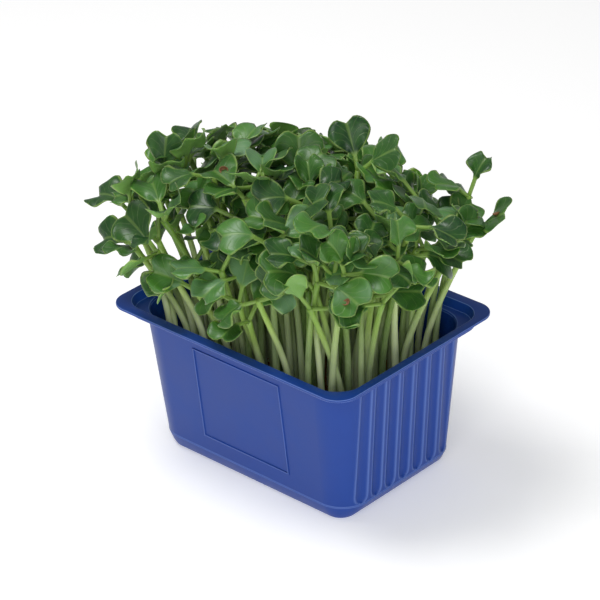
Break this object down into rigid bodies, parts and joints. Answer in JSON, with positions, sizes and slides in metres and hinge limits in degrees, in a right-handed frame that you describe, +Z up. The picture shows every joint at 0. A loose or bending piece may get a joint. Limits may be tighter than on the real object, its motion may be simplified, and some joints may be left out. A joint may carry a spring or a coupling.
{
  "type": "microgreens tray",
  "caption": "Radish cress seedlings growing from a fibre mat in a thin-walled blue plastic tray with a flat rim.",
  "frame": {"origin": "centre of the tray's flat base, at the height of the table that it stands on", "axes": "X along the tray's long side, Y across it towards the back, Z up"},
  "size_m": [0.13, 0.0971, 0.1172],
  "materials": {
    "tray_plastic": "soft sheen",
    "mat_fibre": "rough fibre",
    "sprout_green": "waxy leaf"
  },
  "bodies": {
    "root": {"tray": "tray_plastic", "growing_mat": "mat_fibre", "sprout_01": "sprout_green", "sprout_02": "sprout_green", "sprout_03": "sprout_green", "sprout_04": "sprout_green", "sprout_05": "sprout_green", "sprout_06": "sprout_green", "sprout_07": "sprout_green", "sprout_08": "sprout_green", "sprout_09": "sprout_green", "sprout_10": "sprout_green", "sprout_11": "sprout_green", "sprout_12": "sprout_green", "sprout_13": "sprout_green", "sprout_14": "sprout_green", "sprout_15": "sprout_green", "sprout_16": "sprout_green", "sprout_17": "sprout_green", "sprout_18": "sprout_green", "sprout_19": "sprout_green", "sprout_20": "sprout_green", "sprout_21": "sprout_green", "sprout_22": "sprout_green", "sprout_23": "sprout_green", "sprout_24": "sprout_green", "sprout_25": "sprout_green", "sprout_26": "sprout_green", "sprout_27": "sprout_green", "sprout_28": "sprout_green", "sprout_29": "sprout_green", "sprout_30": "sprout_green", "sprout_31": "sprout_green", "sprout_32": "sprout_green", "sprout_33": "sprout_green", "sprout_34": "sprout_green", "sprout_35": "sprout_green", "sprout_36": "sprout_green", "sprout_37": "sprout_green", "sprout_38": "sprout_green", "sprout_39": "sprout_green", "sprout_40": "sprout_green", "sprout_41": "sprout_green", "sprout_42": "sprout_green", "sprout_43": "sprout_green", "sprout_44": "sprout_green", "sprout_45": "sprout_green", "sprout_46": "sprout_green", "sprout_47": "sprout_green"}
  },
  "joints": []
}
